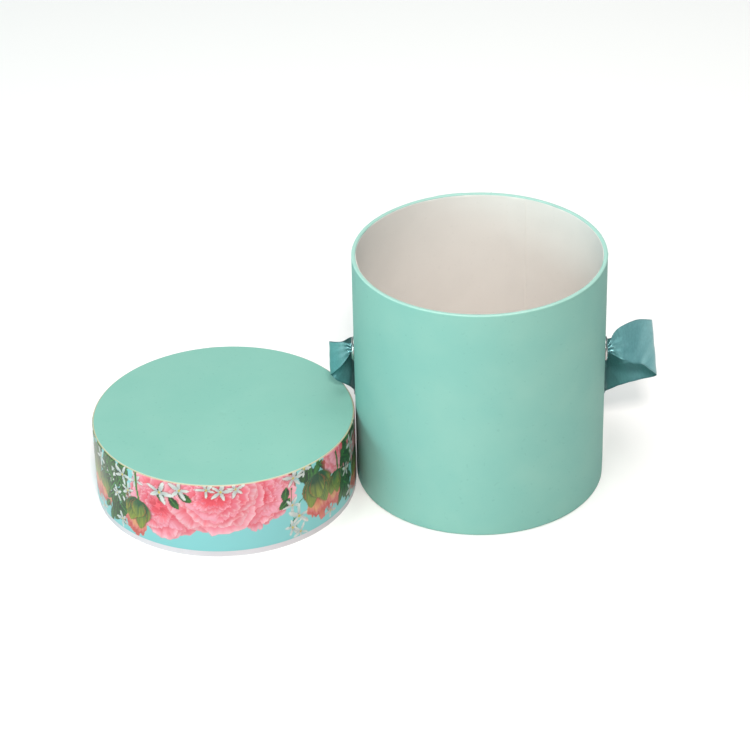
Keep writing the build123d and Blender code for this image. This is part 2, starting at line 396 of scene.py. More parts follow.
    def bud(self, place, size, lean):
        """A hanging bud: green sepals edged with red, and pink petal tips below them."""
        turn = math.radians(180 + lean)
        down = np.array((-math.sin(turn), math.cos(turn)))
        across = np.array((down[1], -down[0]))
        for offset, reach in ((-0.24, 0.94), (0.26, 0.98), (0.02, 1.08), (-0.12, 0.9), (0.15, 0.86)):
            spot = place + across * offset * size * 0.5 + down * size * 0.2
            form = (size * self.any(0.34, 0.44), size * reach * 0.8)
            petal = fan(self.chance, 0.1, 40)
            self.shade(petal, spot, turn, form, bud_deep, 0.6)
            self.add(petal, spot, turn, form, bud_deep, bud_peach, bud_tip, 0.6)
        for offset, splay, length, width in (
            (-0.36, 16, 0.60, 0.20), (0.38, -16, 0.64, 0.20), (-0.2, 7, 0.78, 0.18), (0.24, -9, 0.72, 0.18),
            (0.02, 0, 0.60, 0.22),
        ):
            spot = place + across * offset * size * 0.28 - down * size * 0.02
            angle = turn + math.radians(splay + self.any(-4, 4))
            form = (size * width, size * length * self.any(0.9, 1.08))
            green = tinted(deep_leaf, self.any(1.8, 3.4))
            self.shade(lens(0.7), spot, angle, form, deep_leaf, 0.7)
            self.add(lens(0.7), spot, angle, form, green, bud_olive, bud_red, 0.6)

    def posy(self, middle, last_bloom):
        """What hangs from the top edge over a third of the way round. It may end without a bloom."""

        def at(x, drop):
            return np.array((middle + x, top_edge - drop))

        for index in range(50):
            spot = at(-99 + 4 * index + self.any(-3, 3), self.any(-5, 1))
            self.leaf(spot, 80, (9, 15), (4, 7), (0.6, 1.4))
        for index in range(30):
            spot = at(-99 + 6.6 * index + self.any(-3, 3), self.any(-4, 5))
            self.leaf(spot, 55, (12, 21), (4.5, 8), (0.6, 1.4))
        for x, length, bow in (
            (-97, 46, 3), (-88, 40, -3), (-71, 26, 1.5), (64, 14, 1), (82, 24, 2), (96, 30, -4),
        ):
            self.stem(at(x, -3), at(x + bow, length), bow, 1.3, self.any(0.7, 1.2))
        for x, drop in ((-92, 30), (-97, 38), (-88, 42), (92, 36), (99, 42), (104, 34), (110, 40)):
            self.leaf(at(x, drop), 50, (10, 16), 5.5, (0.6, 1.1))
        if last_bloom:
            self.peony(at(103, -2), (31, 26), 0.94)
        else:
            for index in range(40):
                self.leaf(at(self.any(76, 122), 0.9 * index), 60, (10, 17), (5, 8), (0.5, 1.4))
            for x, drop in ((84, 8), (97, 14), (108, 9), (101, 30), (114, 24)):
                self.jasmine(at(x, drop), 8)
        self.peony(at(-52, 22), (27, 27), 0.97)
        self.peony(at(21, 12), (24, 26))
        self.peony(at(-10, 8), (40, 32))
        for x, drop in ((-43, 12), (-36, 8), (-50, 6), (42, 10), (45, 20)):
            self.leaf(at(x, drop), 60, 12, 6.5, 1.0)
        for start, end, bow in (
            ((46, 12), (50, 50), 2), ((50, 30), (56, 24), -1), ((49, 38), (43, 45), 1),
            ((76, 30), (80, 48), 2), ((-84, 12), (-80, 34), 2),
        ):
            self.stem(at(*start), at(*end), bow, 0.8, 1.2)
        for index in range(26):
            self.leaf(at(self.any(-104, -87), 2 + 1.5 * index), 60, (9, 17), (4.5, 7), (0.5, 1.3))
        for x, drop, size in (
            (-84, 9, 8), (-79, 18, 7), (-70, 6, 7), (-50, 11, 9.5), (-36, 6, 8.5), (-16, 2, 7.5),
            (-4, 4, 8.5), (6, 2, 7), (48, 4, 8.5), (56, 2, 7), (47, 26, 7), (51, 36, 9.5), (46, 44, 7.5),
            (51, 52, 7), (77, 42, 8.5), (82, 49, 6.5), (-88, 46, 7), (-93, 26, 6),
        ):
            self.jasmine(at(x + self.any(-1.5, 1.5), drop + self.any(-1.5, 1.5)), size * 1.05)
        for stem_start, stem_end, bow, width, tint, place, size, lean in (
            ((-70, 0), (-68, 26), 1, 1.8, 1.3, (-68, 23), 30, -14),
            ((70, 0), (67, 14), 1, 2.2, 1.2, (67, 10), 36, 8),
            ((90, 2), (92, 22), -1, 1.8, 1.0, (91, 19), 25, -8),
        ):
            self.stem(at(*stem_start), at(*stem_end), bow, width, tint)
            self.bud(at(*place), size, lean)


def wrapped(x, y):
    """Where points of the flat sleeve lie on the lid, and which way they face."""
    angle = sleeve_seam + x / sleeve_length * 2 * math.pi
    bend = np.clip((y - sleeve_rise) / sleeve_corner, 0, math.pi / 2)
    beyond = np.clip(y - sleeve_rise - sleeve_arc, 0, None)
    lapped = sleeve_overlap_rise * np.clip(x - sleeve_length + 1, 0, 1)
    radius = lid_radius + (lapped - sleeve_corner * (1 - np.cos(bend)) - beyond) * mm
    height = lid_low.z + (np.clip(y, 0, sleeve_rise) + sleeve_corner * np.sin(bend)) * mm
    place = np.stack((lid_x + radius * np.cos(angle), lid_y + radius * np.sin(angle), height), -1)
    facing = np.stack((np.cos(bend) * np.cos(angle), np.cos(bend) * np.sin(angle), np.sin(bend)), -1)
    return place, facing


def sleeve_inks(shader):
    """The colour of each petal and leaf, worked out in its own frame."""

    def attribute(name):
        return shader.add("ShaderNodeAttribute", {"attribute_name": name}).outputs

    u, v, seed = shader.parts(attribute("petal")["Vector"])
    rim, gradient, streak = shader.parts(attribute("tone")["Vector"])
    dark, light, edge = (attribute(name)["Color"] for name in ("dark", "light", "edge"))
    turn = shader.math("ARCTAN2", u, shader.math("ADD", shader.math("ABSOLUTE", v), 0.15))
    veins = shader.noise(1, 3, place=shader.joined((turn, 6.0), (v, 1.2), (seed, 90.0)))
    folds = shader.noise(1, 2, place=shader.joined((u, 1.6), (v, 1.8), (seed, 51.0)))
    drifted = shader.math("MULTIPLY_ADD", shader.math("SUBTRACT", folds, 0.5), 1.1, gradient)
    colour = shader.blend(shader.spread(drifted, 0.2, 0.9), dark, light)
    colour = shader.blend(shader.math("MULTIPLY", shader.spread(rim, 0.8, 1.0), 0.7), colour, edge)
    shadow = shader.math("MULTIPLY", shader.spread(veins, 0.42, 0.68), streak)
    return shader.blend(shadow, colour, dark)


def make_sleeve():
    length = sleeve_length + sleeve_overlap
    printed = sleeve_rise + sleeve_arc
    xs = np.linspace(0, length, round(length / print_grain) + 1)
    ys = np.linspace(0, printed, round(printed / print_grain) + 1)
    ys = np.append(ys, (printed + 1, sleeve_width))
    sheet = FlatPrint(xs, ys, seed=11)
    for third, last_bloom in enumerate((False, True, True)):
        sheet.posy(sleeve_length * (third + 0.5) / 3, last_bloom)
    for ink in sheet.inks.values():
        ink[ys > sleeve_rise + 0.6 * sleeve_arc] = card_edge[:3]
    place, facing = wrapped(*np.meshgrid(xs, ys))
    quads, rim = grid_faces(len(ys), len(xs))
    inner = place.reshape(-1, 3)[rim] - facing.reshape(-1, 3)[rim] * sleeve_thickness * mm
    under = len(ys) * len(xs) + np.arange(len(rim))
    edge = np.stack((rim, under, np.roll(under, -1), np.roll(rim, -1)), 1)
    points = np.concatenate((place.reshape(-1, 3), inner))
    mesh = new_mesh("printed_sleeve", points, np.concatenate((quads, edge)))
    for kind, grids in (("vector", {"petal": sheet.petal, "tone": sheet.tone}), ("color", sheet.inks)):
        for name, grid in grids.items():
            values = grid.reshape(-1, 3)
            per_vertex(mesh, name, np.concatenate((values, values[rim])), kind)
    shader = Shader("floral print", Roughness=0.32, Specular_IOR_Level=0.45)
    shader.set("Base Color", sleeve_inks(shader))
    shader.bump(shader.noise(fibre_scale, 2), 0.3, 0.02 * mm)
    placed(smoothed(mesh, 40), shader.material, "lid", "lid_side_wrap")


# ---------------- the satin ribbon

eyelet_low, eyelet_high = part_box("eyelet_right")
washer_low, washer_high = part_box("eyelet_washer_right")
knot_low, knot_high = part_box("ribbon_knot_right")
eyelet_height = (eyelet_low.z + eyelet_high.z) / 2
eyelet_radius = (eyelet_high.z - eyelet_low.z) / 2
ribbon_width = 30 * mm
ribbon_thickness = 0.35 * mm
ribbon_pleats = 3
stem_width = 7.6 * mm
curl_end = eyelet_low.x
knot_x = (knot_low.x + knot_high.x) / 2

upright = (0, 0, 1)
leaning_back = (0, 0.35, 0.93)
turning = (-0.15, 0.33, 0.93)


def beside(side, out, back, up):
    """A point near an eyelet, in millimetres: out from the wall, back from the eyelet's axis, up from it."""
    return (side * (body_radius + out * mm), back * mm, eyelet_height + up * mm)


def behind(angle, clearance, lift):
    """A point behind the body: an angle from +X, a distance from the wall, the lower edge's height."""
    distance = body_radius + clearance * mm
    height = ribbon_width / 2 + lift * mm
    return (distance * math.cos(math.radians(angle)), distance * math.sin(math.radians(angle)), height)


def stem(side):
    return [
        ((side * curl_end, 0, eyelet_height), upright, stem_width),
        (beside(side, 2.8, 0, 0), upright, stem_width),
    ]


def full_width(*places):
    return [(point, across, ribbon_width) for point, across in places]


right_side = stem(1) + [
    (beside(1, 7.5, -0.5, 1.5), leaning_back, 16 * mm),
    (beside(1, 13, -0.5, 3.5), leaning_back, 24 * mm),
    (beside(1, 19.5, 1, 4.5), leaning_back, 29 * mm),
] + full_width(
    (beside(1, 26.5, 4, 3), turning),
    (beside(1, 32.5, 8.5, -1), turning),
    (beside(1, 36, 14, -7), turning),
    (beside(1, 35.5, 20, -12.5), turning),
    (beside(1, 30, 25, -18.5), turning),
    (beside(1, 21.5, 27.5, -23.5), leaning_back),
    (beside(1, 12.5, 29.5, -27.5), leaning_back),
    (beside(1, 5, 35, -33), leaning_back),
    (beside(1, 2.5, 46.5, -43.5), leaning_back),
    (beside(1, 2.4, 57, -54), leaning_back),
    (beside(1, 2.4, 69, -65), upright),
    (behind(51, 21, 11), upright),
    (behind(69.5, 18, 4), upright),
)
left_side = stem(-1) + [
    (beside(-1, 6, -1, -0.5), upright, 13 * mm),
    (beside(-1, 10.5, -1.5, -2.5), upright, 17 * mm),
    (beside(-1, 14.7, 0, -5.5), upright, 20 * mm),
    (beside(-1, 17.6, 3.5, -9), upright, 22 * mm),
    (beside(-1, 17.5, 8, -12.5), upright, 24 * mm),
    (beside(-1, 14, 12, -15.5), upright, 26 * mm),
    (beside(-1, 9, 16.5, -19), leaning_back, 28 * mm),
] + full_width(
    (beside(-1, 4.5, 22.5, -24), leaning_back),
    (beside(-1, 2.4, 32, -32.5), leaning_back),
    (beside(-1, 2.3, 46, -45), leaning_back),
    (beside(-1, 2.4, 57, -55), leaning_back),
    (beside(-1, 2.4, 69, -65.5), upright),
    (behind(129, 21, 11), upright),
    (behind(110.5, 18, 4), upright),
)
ribbon_stations = left_side + full_width((behind(90, 17, 2), upright)) + right_side[::-1]


def smooth_run(stations, spacing):
    """Points, width directions and widths along one smooth line through the stations."""
    values = np.array([[*point, *across, width] for point, across, width in stations])
    chords = np.linalg.norm(np.diff(values[:, :3], axis=0), axis=1)
    along = np.concatenate(((0,), np.cumsum(chords)))
    slopes = np.gradient(values, along, axis=0)
    samples = np.linspace(0, along[-1], round(along[-1] / spacing) + 1)
    span = np.clip(np.searchsorted(along, samples, side="right") - 1, 0, len(along) - 2)
    length = np.diff(along)[span][:, None]
    t = (samples - along[span])[:, None] / length
    start, end = values[span], values[span + 1]
    start_slope, end_slope = slopes[span] * length, slopes[span + 1] * length
    run = (
        (2 * t**3 - 3 * t**2 + 1) * start + (t**3 - 2 * t**2 + t) * start_slope
        + (3 * t**2 - 2 * t**3) * end + (t**3 - t**2) * end_slope
    )
    return samples, run[:, :3], run[:, 3:6], np.clip(run[:, 6], values[:, 6].min(), values[:, 6].max())


def bell(offset, width):
    return np.exp(-((offset / width) ** 2))


def unit(vectors):
    return vectors / np.linalg.norm(vectors, axis=-1, keepdims=True)


def twisting(centre, across, reach):
    """A sheet whose cross lines are square to its middle line, and the way it faces."""
    forward = unit(np.gradient(centre, axis=0))
    across = unit(across - forward * np.sum(across * forward, axis=1, keepdims=True))
    facing = np.cross(forward, across)[:, None]
    return centre[:, None] + across[:, None] * reach[..., None], facing


def standing(centre, across, reach):
    """A sheet on edge that runs up and down hill as flat cloth does: its cross lines lean with the slope,
    and every fold in it is one straight line."""
    steps = np.diff(centre, axis=0)
    level = np.concatenate(((0,), np.cumsum(np.hypot(steps[:, 0], steps[:, 1]))))
    length = np.concatenate(((0,), np.cumsum(np.linalg.norm(steps, axis=1))))
    slope = -np.gradient(centre[:, 2], length)
    weights = bell(np.arange(-12, 13), 5.0)
    slope = np.convolve(np.pad(slope, 12, mode="edge"), weights / weights.sum(), mode="valid")[:, None]
    along = level[:, None] + reach * slope
    height = reach * np.sqrt(1 - slope**2)
    lean = (across[:, :2] / across[:, 2:])[:, None]
    plan = np.stack([np.interp(along, level, centre[:, axis]) for axis in (0, 1)], -1)
    ahead = unit(np.gradient(centre[:, :2], level, axis=0))
    ahead = np.stack([np.interp(along, level, ahead[:, axis]) for axis in (0, 1)], -1)
    facing = unit(np.stack((ahead[..., 1], -ahead[..., 0], np.zeros_like(along)), -1))
    grid = np.concatenate((plan + lean * height[..., None], (centre[:, 2:] + height)[..., None]), -1)
    return grid, facing


def with_lip(grid, samples, q, lip):
    """Turns the lower part of the ribbon to the front about a crease along it, most of all at one place."""
    middle, reach, degrees, crease = lip
    turn = math.radians(degrees) * bell(samples - middle % samples[-1], reach)[:, None, None]
    hinge = grid[:, [np.argmin(np.abs(q - crease))]]
    arm = grid - hinge
    length = np.linalg.norm(arm, axis=-1, keepdims=True)
    bent = hinge + arm * np.cos(turn) + np.array((0, -1, 0)) * length * np.sin(turn)
    return np.where((q < crease)[None, :, None], bent, grid)


def ribbon_grid(sheet, stations, spacing, columns, cut_width, phase, waves, lips=()):
    """The ribbon's middle surface: where it is narrower than it was cut, it is gathered in pleats."""
    samples, centre, across, width = smooth_run(stations, spacing)
    q = np.linspace(-1, 1, columns)
    grid, facing = sheet(centre, across, q * width[:, None] / 2)
    for lip in lips:
        grid = with_lip(grid, samples, q, lip)
    pleat_depth = np.sqrt(np.clip(cut_width**2 - width**2, 0, None)) / (4 * ribbon_pleats)
    turns = ribbon_pleats * math.pi * (q + 1) + phase
    gathered = np.clip((0.42 - width / cut_width) / 0.3, 0.04, 1)
    waver = 0.4 * np.sin(samples / mm / 5)[:, None]
    raised = (pleat_depth * gathered)[:, None] * np.sin(turns[None, :] + waver)
    fullness = np.clip((width / cut_width - 0.6) / 0.4, 0, 1)[:, None]
    ripple = sum(
        size * mm * np.sin(samples[:, None] / (length * mm) * 2 * math.pi + slant * q + start)
        for size, length, slant, start in waves
    )
    return samples, q, grid + facing * (raised + fullness * ripple)[..., None]


def thick_ribbon(name, samples, q, grid):
    """A closed thin solid round a grid of points. Each vertex keeps its place on the flat ribbon: across
    it from -1 to 1, and along it in metres."""
    rows, cols = grid.shape[:2]
    half = unit(np.cross(np.gradient(grid, axis=0), np.gradient(grid, axis=1))) * ribbon_thickness / 2
    quads, rim = grid_faces(rows, cols)
    quads = quads[:, [0, 3, 2, 1]]
    under = rows * cols
    edge = np.stack((rim, np.roll(rim, -1), np.roll(rim, -1) + under, rim + under), 1)
    faces = np.concatenate((quads, quads[:, ::-1] + under, edge))
    mesh = new_mesh(name, np.stack((grid + half, grid - half)), faces)
    along, across = np.meshgrid(samples, q, indexing="ij")
    flat = np.stack((across, along, np.zeros_like(along)), -1).reshape(-1, 3)
    per_vertex(mesh, "cloth", np.concatenate((flat, flat)))
    return smoothed(mesh, 50)


satin_colour, satin_shade, satin_dark = look(141, 205, 208), look(127, 194, 199), look(63, 117, 125)
weave_pitch = 0.3 * mm


def satin():
    """Satin ribbon: a close weave across it, a firmer selvage, and a soft gloss."""
    shader = Shader("satin ribbon", Roughness=0.3, Specular_IOR_Level=1.0, Sheen_Weight=0.05,
                    Sheen_Roughness=0.4, Anisotropic=0.45, Metallic=0.5)
    cloth = shader.add("ShaderNodeAttribute", {"attribute_name": "cloth"}).outputs["Vector"]
    across, along, _ = shader.parts(cloth)
    selvage = shader.spread(shader.math("ABSOLUTE", across), 0.93, 0.96)
    drift = shader.noise(35, 3)
    tone = shader.spread(drift, 0.3, 0.7)
    colour = shader.blend(tone, satin_colour, satin_shade)
    slub = shader.noise(1, 2, place=shader.joined((across, 6.0), (along, 900.0)))
    colour = shader.blend(shader.math("MULTIPLY", shader.spread(slub, 0.35, 0.75), 0.25), colour, satin_dark)
    colour = shader.blend(shader.math("MULTIPLY", selvage, 0.3), colour, satin_dark)
    shader.set("Base Color", colour)
    weave = shader.math("SINE", shader.math("MULTIPLY", along, 2 * math.pi / weave_pitch))
    shader.bump(weave, 0.25, 0.02 * mm)
    shader.bump(slub, 0.35, 0.05 * mm)
    shader.bump(selvage, 0.5, 0.1 * mm)
    return shader.material


def make_ribbon(finish):
    """Each wave of the cloth has its size, its length, its slant and its start, the first two in
    millimetres, and the lip has its middle counted back from the end, its reach, its turn in degrees and
    its crease from -1 to 1."""
    waves = ((0.3, 47, 1.2, 0.3), (0.2, 23, -1.8, 1.9), (0.1, 13, 2.6, 4.0))
    lips = ((-88 * mm, 24 * mm, 28, -0.2),)
    samples, q, grid = ribbon_grid(standing, ribbon_stations, 1.0 * mm, 49, ribbon_width, 0.0, waves, lips)
    mesh = thick_ribbon("satin_ribbon", samples, q, grid)
    ribbon = placed(mesh, finish, "handle", "ribbon_strap")
    knots = [make_knot(side, name, finish) for side, name in ((-1, "left"), (1, "right"))]


def make_knot(side, name, finish):
    """The ribbon's end inside the wall: an overhand knot, then a cut tail that hangs down."""
    coil = 1.75 * mm
    stations = [((side * curl_end, 0, eyelet_height), upright, stem_width)]
    for turn in np.linspace(0.35, 2 * math.pi - 0.35, 26):
        reach = 2 + math.cos(3 * turn)
        place = (
            side * (knot_x + coil * 1.15 * math.sin(3 * turn)),
            coil * reach * math.sin(2 * turn),
            eyelet_height + coil * reach * math.cos(2 * turn),
        )
        outward = (0.9 * side * math.sin(3 * turn), math.cos(2 * turn), -math.sin(2 * turn))
        stations.append((place, outward, 6.5 * mm))
    tail_x = side * (knot_x - 1.5 * mm)
    for drop, width in ((9, 9), (14, 14), (20, 18), (28, 20)):
        place = (tail_x - side * 0.12 * drop * mm, 0.5 * mm, eyelet_height - drop * mm)
        stations.append((place, (0, 1, 0), width * mm))
    waves = ((0.4, 21, 1.5, side), (0.3, 11, -2.2, 2.0))
    samples, q, grid = ribbon_grid(twisting, stations, 0.7 * mm, 41, 20 * mm, 1.0, waves)
    mesh = thick_ribbon(f"satin_knot_{name}", samples, q, grid)
    return placed(mesh, finish, "box", f"ribbon_knot_{name}")


# ---------------- paper skins and metal, turned round an axis

paper_wall = 0.25           # millimetres, as are all the outlines below
wrap_edge = 0.9
wrap_under = 10.0
wrap_inside = 12.0
tube_wall = 2.3
lining_reach = 0.7          # how much higher the lining comes than its plain form
step_run = 9.0              # over which the lining climbs onto the turned-in wrap
eyelet_hole = 5.6           # radius
wrap_lap = (98, 110)        # where each paper overlaps itself, in degrees
lining_lap = (67, 75)


def straight(start, end, pieces=1):
    """Points from the start up to, and not with, the end."""
    steps = np.arange(pieces)[:, None] / pieces
    return np.array(start) + (np.array(end) - np.array(start)) * steps


def arc(centre, radius, first, last, pieces=5):
    turn = np.radians(np.linspace(first, last, pieces + 1))
    return np.array(centre) + radius * np.stack((np.cos(turn), np.sin(turn)), 1)


def ramp(value, low, high):
    t = np.clip((value - low) / (high - low), 0, 1)
    return t * t * (3 - 2 * t)


def apart(angle, other):
    """The signed angle between two directions, in degrees."""
    return (angle - other + 180) % 360 - 180


def lapped(angle, lap, rise, run):
    """The rise of a lap: steep over its first stretch, and gentle at its end."""
    return rise * ramp(apart(angle, lap[0]), 0, run) * ramp(apart(angle, lap[1]), 1.5, 0)


def turned(name, outline, degrees, place, shape=None):
    """A closed outline of (radius, height) in millimetres, turned round an axis.
    The shape gives how far each point moves along the outline's normal."""
    outline = np.concatenate(outline)
    chord = np.roll(outline, -1, 0) - np.roll(outline, 1, 0)
    normal = np.stack((chord[:, 1], -chord[:, 0]), 1)
    normal = normal / np.maximum(np.linalg.norm(normal, axis=1, keepdims=True), 1e-9)
    grid = np.repeat(outline[None], len(degrees), 0)
    if shape:
        moved = shape(degrees[:, None], grid[..., 0], grid[..., 1])
        grid = grid + normal[None] * moved[..., None]
    points = place(grid[..., 0] * mm, grid[..., 1] * mm, np.radians(degrees)[:, None])
    rows, cols = grid.shape[:2]
    index = np.arange(rows * cols).reshape(rows, cols)
    after, beside_it = np.roll(index, -1, 0), np.roll(index, -1, 1)
    quads = np.stack((index, after, np.roll(after, -1, 1), beside_it), -1).reshape(-1, 4)
    mesh = new_mesh(name, points, quads)
    form = bmesh.new()
    form.from_mesh(mesh)
    bmesh.ops.remove_doubles(form, verts=form.verts, dist=1e-7)
    bmesh.ops.recalc_face_normals(form, faces=form.faces)
    form.to_mesh(mesh)
    form.free()
    return smoothed(mesh, 45)


def round_upright(x, y):
    def place(radius, height, angle):
        return np.stack((x + radius * np.cos(angle), y + radius * np.sin(angle), height), -1)

    return place


def round_eyelet(side):
    def place(radius, out, angle):
        return np.stack((side * out, radius * np.cos(angle), eyelet_height + radius * np.sin(angle)), -1)

    return place


def cut_eyelet_holes(piece):
    """Bores the two eyelet holes through a paper skin."""
    bpy.ops.mesh.primitive_cylinder_add(
        vertices=48, radius=eyelet_hole * mm, depth=3 * body_radius,
        location=(0, 0, eyelet_height), rotation=(0, math.pi / 2, 0))
    drill = bpy.context.object
    bore = piece.modifiers.new("bore", "BOOLEAN")
    bore.operation = "DIFFERENCE"
    bore.object = drill
    bpy.context.view_layer.objects.active = piece
    bpy.ops.object.modifier_apply(modifier=bore.name)
    bpy.data.objects.remove(drill)


def painted_rim_highlight(finish):
    """The same paper, paler along the rim: a painted highlight, blended in over the top millimetre of the
    wall.
    """
    shader = Shader(finish.copy())
    height = shader.parts(shader.place)[2]
    amount = shader.spread(height, body_height - 1.1 * mm, body_height - 0.4 * mm, 0.0, 0.45)
    colour = shader.surface.inputs["Base Color"].links[0].from_socket
    # painted highlight: the top of the rim is blended up to 45% towards a pale mint
    shader.set("Base Color", shader.blend(amount, colour, linear(190, 222, 210)))
    return shader.material


def make_wrap(finish):
    """The mint paper: lapped at a seam behind, turned in over the rim in small tucks, and under the base."""
    outer = body_radius / mm
    top = body_height / mm
    bore = outer - paper_wall - tube_wall
    low = wrap_low.z / mm
    inner_edge = wrap_edge - paper_wall
    outside, inside = outer - wrap_edge, bore - paper_wall + wrap_edge
    outline = (
        straight((outer - wrap_under, low + paper_wall), (outer - wrap_under, low)),
        straight((outer - wrap_under, low), (outside, low), 4),
        arc((outside, low + wrap_edge), wrap_edge, -90, 0),
        straight((outer, low + wrap_edge + 1), (outer, top - 6), 70),
        straight((outer, top - 6), (outer, top - wrap_edge), 10),
        arc((outside, top - wrap_edge), wrap_edge, 0, 90, 7),
        arc((inside, top - wrap_edge), wrap_edge, 90, 180, 7),
        straight((bore - paper_wall, top - wrap_edge - 0.5), (bore - paper_wall, top - wrap_inside), 8),
        straight((bore - paper_wall, top - wrap_inside), (bore, top - wrap_inside)),
        straight((bore, top - wrap_inside), (bore, top - wrap_edge - 0.5), 3),
        arc((inside, top - wrap_edge), inner_edge, 180, 90),
        arc((outside, top - wrap_edge), inner_edge, 90, 0),
        straight((outer - paper_wall, top - wrap_edge - 1), (outer - paper_wall, low + wrap_edge + 1), 3),
        arc((outside, low + wrap_edge), inner_edge, 0, -90),
    )
    chance = np.random.default_rng(5)
    tucks = chance.uniform(0, 360, 22)
    slants = chance.uniform(-0.35, 0.35, 22)
    depths = chance.uniform(0.08, 0.2, 22)
    # Each dent has its angle in degrees, its height, and how far it spreads round and up.
    dents = [(-62, 133, 2.6, 1.2), (-60.5, 129, 1.6, 2.2), (-57, 134, 1.4, 1.6), (-118, 52, 3.5, 2.0),
             (-38, 92, 2.2, 3.0), (25, 120, 4, 2.5), (150, 60, 3, 4), (205, 110, 2.5, 2), (75, 40, 3, 3)]
    near = np.array((-1.2, -0.8, -0.5, -0.3, -0.15, 0, 0.15, 0.3, 0.5, 0.8, 1.2))
    seam = wrap_lap[0] + np.array((-0.1, 0, 0.06, 0.12))
    near_tucks = (tucks[:, None] + near).ravel() % 360
    degrees = np.unique(np.concatenate((np.arange(0, 360, 1.0), near_tucks, seam)))

    def shape(angle, radius, height):
        wall = ramp(radius, bore + 1.5, outer - 0.3) * ramp(height, low + 1, low + 8)
        swell = 0.07 + 0.035 * np.sin(np.radians(angle) * 9 + 1 + height * 0.01)
        swell = swell + 0.03 * np.sin(np.radians(angle) * 5 + height * 0.035)
        ripple = 0.03 * np.sin(np.radians(angle) * 41 + 0.02 * height) * bell(apart(angle, -30), 22)
        hollow = sum(-0.11 * bell(apart(angle, a) * outer * math.pi / 180, w) * bell(height - h, t)
                     for a, h, w, t in dents)
        lap = lapped(angle, wrap_lap, 0.22, 0.12) * ramp(radius, outer - 1.5, outer - 0.5)
        climb = (radius - outer) - (height - top)
        edge = ramp(height, top - 5, top - 1)
        creased = sum(depth * bell(apart(angle, tuck + slant * climb), 0.28)
                      for tuck, slant, depth in zip(tucks, slants, depths))
        return wall * (swell + ripple + hollow) + lap + edge * creased

    mesh = turned("mint_wrap", outline, degrees, round_upright(0, 0), shape)
    # the wrap's rim carries a painted highlight
    cut_eyelet_holes(placed(mesh, painted_rim_highlight(finish), "box", "body_wrap"))


def make_lining(finish):
    """The cream paper inside: it climbs over the turned-in wrap and has a lap and faint upright creases."""
    outer = body_radius / mm - paper_wall - tube_wall
    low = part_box("body_lining")[0].z / mm
    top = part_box("body_lining")[1].z / mm + lining_reach
    step = body_height / mm - wrap_inside
    face, raised = outer - paper_wall, outer - 2 * paper_wall
    outline = (
        straight((outer, low), (outer, step)),
        straight((outer, step), (outer - paper_wall, step + 0.1)),
        straight((face, step + 0.1), (face, top)),
        straight((face, top), (raised, top)),
        straight((raised, top), (raised, step), 14),
        straight((raised, step), (face, step - step_run), 5),
        straight((face, step - step_run), (face, low), 40),
    )
    # Each crease has its angle in degrees, its rise, and how far it spreads in degrees.
    creases = [(171, 0.10, 0.5), (176, 0.14, 0.6), (179.5, 0.08, 0.4), (187, 0.12, 0.7), (152, 0.06, 0.6),
               (128, 0.05, 0.8), (38, 0.08, 0.6), (31, 0.06, 0.5), (12, 0.09, 0.6), (263, 0.07, 0.7)]
    seam = lining_lap[0] + np.array((-0.1, 0, 0.08, 0.16))
    degrees = np.unique(np.concatenate((np.arange(0, 360, 0.75), seam)))

    def shape(angle, radius, height):
        inner = ramp(radius, outer - 0.05, outer - 0.2)
        fade = ramp(height, top + 2, top - 30) * 0.7 + 0.3
        ridge = sum(rise * bell(apart(angle, spot + 0.01 * height), wide) for spot, rise, wide in creases)
        wave = 0.05 * np.sin(np.radians(angle) * 7 + height * 0.02) + 0.02 * np.sin(np.radians(angle) * 23)
        lap = lapped(angle, lining_lap, 0.2, 0.15)
        ragged = 0.1 * np.sin(np.radians(angle) * 6) + 0.06 * np.sin(np.radians(angle) * 17 + 2)
        edge = ramp(height, top - 0.05, top) * ragged
        return inner * (0.08 + fade * ridge + wave + lap) * ramp(height, top, top - 1) + edge

    mesh = turned("cream_lining", outline, degrees, round_upright(0, 0), shape)
    cut_eyelet_holes(placed(mesh, finish, "box", "body_lining"))


def make_lid_cover(finish, core):
    """The mint disc of card on the lid: slightly crowned, with a soft pressed edge and a pale cut rim. Its
    paint is a copy of the body's mint paper made a little paler: painted light, standing for the brighter
    light on its upward face.
    """
    low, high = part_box("lid_top_cover")
    edge = (high.x - low.x) / 2 / mm
    top = high.z / mm
    under = lid_high.z / mm
    soft = 0.16
    outline = (
        straight((0, under), (edge, under), 3),
        straight((edge, under), (edge, top - soft)),
        arc((edge - soft, top - soft), soft, 0, 90, 3),
        straight((edge - soft - 0.4, top), (0, top), 40),
    )

    def shape(angle, radius, height):
        upper = ramp(height, top - 0.05, top)
        crown = 0.16 * (1 - (radius / edge) ** 4)
        warp = 0.12 * np.sin(np.radians(angle) * 2 + 0.7) * (radius / edge) ** 2
        warp = warp * ramp(radius, edge, edge - 20)
        press = -0.07 * bell(radius - edge + 3.2, 1.0)
        return upper * (crown + warp + press) * ramp(radius, edge, edge - 1)

    mesh = turned("lid_cover", outline, np.arange(0, 360, 1.5), round_upright(lid_x, lid_y), shape)
    placed(mesh, finish, "lid", "lid_top_cover")
    mesh.materials.append(core)
    rims = [abs(polygon.normal.z) < 0.5 for polygon in mesh.polygons]
    mesh.polygons.foreach_set("material_index", np.array(rims, np.int32))


